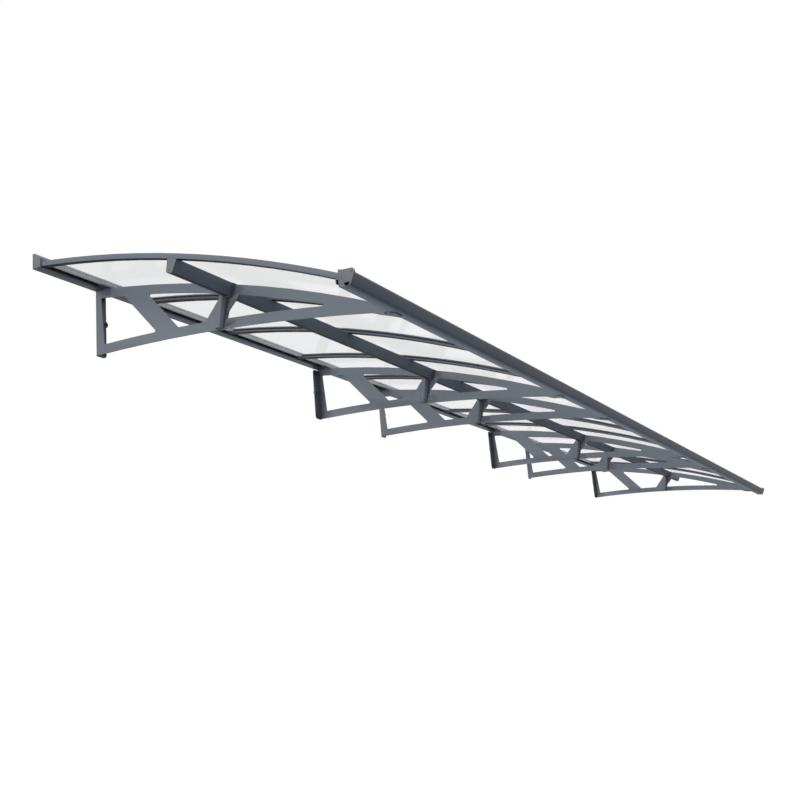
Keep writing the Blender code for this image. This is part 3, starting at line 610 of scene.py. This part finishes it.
# clear panels: ten alike, and a narrower one at each end
panel = {
    "thickness": 0.003,
    "drop": 0.0058,
    "jointGap": 0.005,  # from a joint profile's middle to the panel's edge
    "sideGap": 0.013,  # from a side profile's outer face
}
endWidth = bays["pitch"] - panel["jointGap"] - panel["sideGap"]
endMiddle = -bays["left"] - panel["sideGap"] - endWidth / 2
middlePanels = {
    "count": bays["count"] - 2,
    "pitch": bays["pitch"],
    "first": bays["left"] + 1.5 * bays["pitch"],
    "width": bays["pitch"] - 2 * panel["jointGap"],
    "thickness": panel["thickness"],
    "drop": panel["drop"],
    "finish": "panel",
}
endPanels = dict(middlePanels, count=2, pitch=2 * endMiddle, first=-endMiddle, width=endWidth)
middleNames = [f"panel_{index:02d}" for index in range(2, bays["count"])]
addBars("panels_middle", middlePanels, middleNames)
addBars("panels_end", endPanels, ["panel_01", f"panel_{bays['count']}"])
print("panels made:", bays["count"])

# rubber beads where the profiles' lower lips meet the panels; their black line also stands in for the
# shade along the lips, painted shade
bead = {"width": 0.0016, "thickness": 0.0024, "drop": 0.0091, "sideHalf": 0.0250, "jointHalf": 0.0170}
for name, first in (("beads_left", -1), ("beads_right", 1)):
    values = dict(bead, count=bays["count"] - 1, pitch=bays["pitch"], finish="rubber")
    values["first"] = bays["left"] + bays["pitch"] + first * bead["jointHalf"]
    addBars(name, values)
inside = -bays["left"] - bead["sideHalf"]
addBars("beads_end", dict(bead, count=2, pitch=2 * inside, first=-inside, finish="rubber"))

# seal and frosted strip under each panel's rear edge, in front of the rail
rearSeal = {"rearOut": 0.0415, "frontOut": 0.0500, "thickness": 0.0046}
rearStrip = {"rearOut": 0.0502, "frontOut": 0.0830, "thickness": 0.0012}
perBay = {
    "count": bays["count"],
    "pitch": bays["pitch"],
    "first": bays["left"] + bays["pitch"] / 2,
    "width": 0.5226,
    "drop": 0.0089,
    "steps": 3,
}
addBars("rear_seals", dict(rearSeal, **perBay, finish="rubber"))
addBars("rear_strips", dict(rearStrip, **perBay, finish="strip"))
print("seals and strips made")


# screws: a washer, a domed head and a six-sided socket, on points
screwForm = {
    "sides": 24,
    "topShare": 0.74,
    "socketSides": 6,
    "socketShare": 0.42,
    "socketRise": 1.15,
    "smoothBelow": 30,
}


def screwTree():
    tree = bpy.data.node_groups.new("screws", "GeometryNodeTree")
    for label, kind in (
        ("Geometry", "NodeSocketGeometry"),
        ("Head Radius", "NodeSocketFloat"),
        ("Head Height", "NodeSocketFloat"),
        ("Washer Radius", "NodeSocketFloat"),
        ("Washer Height", "NodeSocketFloat"),
        ("Turn", "NodeSocketRotation"),
        ("Finish", "NodeSocketMaterial"),
    ):
        tree.interface.new_socket(label, in_out="INPUT", socket_type=kind)
    tree.interface.new_socket("Geometry", in_out="OUTPUT", socket_type="NodeSocketGeometry")
    given = tree.nodes.new("NodeGroupInput").outputs

    def scaled(value, by):
        return addNode(tree, "ShaderNodeMath", {0: value, 1: by}, operation="MULTIPLY").outputs[0]

    def raised(mesh, height):
        lift = addNode(tree, "ShaderNodeCombineXYZ", {"Z": height}).outputs[0]
        return addNode(tree, "GeometryNodeTransform", {"Geometry": mesh, "Translation": lift}).outputs[0]

    def cylinder(sides, radius, depth):
        inputs = {"Vertices": sides, "Radius": radius, "Depth": depth}
        return addNode(tree, "GeometryNodeMeshCylinder", inputs).outputs["Mesh"]

    radius, height = given["Head Radius"], given["Head Height"]
    washer = cylinder(screwForm["sides"], given["Washer Radius"], given["Washer Height"])
    washer = raised(washer, scaled(given["Washer Height"], 0.5))
    head = {"Vertices": screwForm["sides"], "Side Segments": 1, "Depth": height}
    head["Radius Bottom"] = radius
    head["Radius Top"] = scaled(radius, screwForm["topShare"])
    head = addNode(tree, "GeometryNodeMeshCone", head).outputs["Mesh"]
    head = raised(head, given["Washer Height"])
    socket = cylinder(screwForm["socketSides"], scaled(radius, screwForm["socketShare"]), height)
    socket = raised(socket, scaled(height, screwForm["socketRise"]))
    cut = addNode(tree, "GeometryNodeMeshBoolean", {"Mesh 1": head}, operation="DIFFERENCE")
    tree.links.new(socket, cut.inputs["Mesh 2"])
    both = addNode(tree, "GeometryNodeJoinGeometry")
    tree.links.new(washer, both.inputs[0])
    tree.links.new(cut.outputs["Mesh"], both.inputs[0])
    copies = {"Points": given["Geometry"], "Instance": both.outputs[0], "Rotation": given["Turn"]}
    copies = addNode(tree, "GeometryNodeInstanceOnPoints", copies)
    return finished(tree, copies, given["Finish"])


screwNodes = screwTree()
facing = {"street": (90, 0, 0), "left": (0, -90, 0), "right": (0, 90, 0)}


def addScrews(name, places, direction, values):
    start = bpy.data.meshes.new(name)
    start.from_pydata(places, [], [])
    inputs = {
        "Head Radius": values["head"],
        "Head Height": values["height"],
        "Washer Radius": values["washer"],
        "Washer Height": values["washerHeight"],
        "Turn": [math.radians(part) for part in facing[direction]],
        "Finish": finishes["screw"],
    }
    mesh = grownMesh(name, screwNodes, start, inputs)
    smoothed(mesh, screwForm["smoothBelow"])
    addPiece(name, mesh)


def bracketPlaces():
    # where each bracket's web stands, and which way its flange points
    for index in range(modules["count"]):
        middle = (index + 0.5 - modules["count"] / 2) * modules["length"]
        for hand in (1, -1):
            yield middle - hand * modules["bracketFromMiddle"], hand


wallScrew = {"head": 0.0058, "height": 0.0042, "washer": 0.0078, "washerHeight": 0.0012}
flange = {"inset": 0.0365, "bossInset": 0.0405, "plate": 0.004, "boss": 0.009}
flange["levels"] = {"top": -0.05625, "middle": -0.1595, "bottom": -0.2835}
flangePlaces = []
for across, hand in bracketPlaces():
    for level, up in flange["levels"].items():
        inset, front = flange["inset"], flange["plate"]
        if level == "middle":
            inset, front = flange["bossInset"], flange["boss"]
        flangePlaces.append((across + hand * inset, -front, up))
addScrews("flange_screws", flangePlaces, "street", wallScrew)

webScrew = {"head": 0.0042, "height": 0.0012, "washer": 0.0046, "washerHeight": 0.0004}
web = {"half": 0.0025, "footOut": 1.3029, "footUp": -0.4315}
for name, side in (("left", -1), ("right", 1)):
    spot = (-web["footOut"], web["footUp"])
    places = [(across + side * web["half"], *spot) for across, hand in bracketPlaces()]
    addScrews(f"web_screws_{name}", places, name, webScrew)

capScrew = {
    "head": 0.0034,
    "height": 0.0014,
    "washer": 0.0040,
    "washerHeight": 0.0003,
    "sunk": 0.0012,  # into the cap
}
capScrewPlaces = {
    "gutter": [(1.3706, -0.3957), (1.3327, -0.4075)],
    "beam": [(0.6640, -0.1745), (0.6545, -0.2040)],
}
capScrewBase = capRim["face"] - capRim["recess"] - capScrew["sunk"]
for stem, spots in capScrewPlaces.items():
    for name, side in (("left", -1), ("right", 1)):
        places = [(side * capScrewBase, -out, up) for out, up in spots]
        addScrews(f"{stem}_cap_screws_{name}", places, name, capScrew)
print("screws set")

# plain studio: a pale floor, a white backdrop and soft light from the left and above
studio = {
    "floorUp": -2.35,
    "floorSize": 60.0,
    "floorShine": {"Roughness": 0.9, "Emission Strength": 0.45},
    "floorColour": (0.9, 0.9, 0.9, 1.0),
    "white": (1.0, 1.0, 1.0, 1.0),
    "backdrop": 1.0,
    "sky": {"From Min": -0.4, "From Max": 0.5, "To Min": 0.16, "To Max": 0.95},
    "leftGlow": 1.6,
    "leftGlowFrom": (-0.86, 0.48, -0.15),
    "leftGlowFocus": 4.0,
    "wallGlow": 0.75,
    "wallGlowFrom": (0.86, 0.42, -0.28),
    "wallGlowFocus": 8.0,
    "wallGlowColour": (0.70, 0.86, 1.0, 1.0),
    "sunWay": (0.74, 0.02, -0.65),
    "sunStrength": 1.3,
    "sunAngle": 4.0,
}


def addFloor(values):
    mesh = bpy.data.meshes.new("floor")
    work = bmesh.new()
    lay = Matrix.Translation((0.0, 0.0, values["floorUp"]))
    bmesh.ops.create_grid(work, x_segments=1, y_segments=1, size=values["floorSize"] / 2, matrix=lay)
    work.to_mesh(mesh)
    work.free()
    made = bpy.data.objects.new("floor", mesh)
    bpy.context.scene.collection.objects.link(made)
    pale, tree, shader = newMaterial("floor_pale")
    shader.inputs["Base Color"].default_value = values["floorColour"]
    shader.inputs["Emission Color"].default_value = values["white"]
    for socket, value in values["floorShine"].items():
        shader.inputs[socket].default_value = value
    mesh.materials.append(pale)
    made.visible_diffuse = False
    made.visible_glossy = False


def addSky(values):
    # the camera sees a white backdrop, while the object is lit by the sky and the two glows
    world = bpy.data.worlds.new("studio")
    bpy.context.scene.world = world
    world.use_nodes = True
    tree = world.node_tree
    tree.nodes.clear()
    way = addNode(tree, "ShaderNodeTexCoord").outputs["Generated"]
    up = addNode(tree, "ShaderNodeSeparateXYZ", {0: way}).outputs["Z"]
    level = addNode(tree, "ShaderNodeMapRange", dict(values["sky"], Value=up)).outputs["Result"]

    def combine(operation, first, second):
        inputs = {0: first, 1: second}
        return addNode(tree, "ShaderNodeMath", inputs, operation=operation).outputs[0]

    def glow(direction, focus, strength):
        toward = {0: way, 1: Vector(direction).normalized()}
        toward = addNode(tree, "ShaderNodeVectorMath", toward, operation="DOT_PRODUCT")
        lit = combine("MAXIMUM", toward.outputs["Value"], 0.0)
        return combine("MULTIPLY", combine("POWER", lit, focus), strength)

    left = glow(values["leftGlowFrom"], values["leftGlowFocus"], values["leftGlow"])
    wall = glow(values["wallGlowFrom"], values["wallGlowFocus"], values["wallGlow"])
    total = combine("ADD", left, level)
    light = addNode(tree, "ShaderNodeBackground", {"Strength": total}).outputs[0]
    cool = addNode(tree, "ShaderNodeBackground", {"Strength": wall}).outputs[0]
    seen = addNode(tree, "ShaderNodeBackground", {"Strength": values["backdrop"]}).outputs[0]
    for shader in (light, seen):
        shader.node.inputs["Color"].default_value = values["white"]
    cool.node.inputs["Color"].default_value = values["wallGlowColour"]
    light = addNode(tree, "ShaderNodeAddShader", {0: light, 1: cool}).outputs[0]
    ray = addNode(tree, "ShaderNodeLightPath").outputs["Is Camera Ray"]
    mix = addNode(tree, "ShaderNodeMixShader", {0: ray, 1: light, 2: seen}).outputs[0]
    addNode(tree, "ShaderNodeOutputWorld", {"Surface": mix})


def addSun(values):
    sun = bpy.data.lights.new("key", "SUN")
    sun.energy = values["sunStrength"]
    sun.angle = math.radians(values["sunAngle"])
    made = bpy.data.objects.new("key", sun)
    made.rotation_euler = Vector(values["sunWay"]).to_track_quat("-Z", "Y").to_euler()
    bpy.context.scene.collection.objects.link(made)


addFloor(studio)
addSky(studio)
addSun(studio)
print("studio lit")
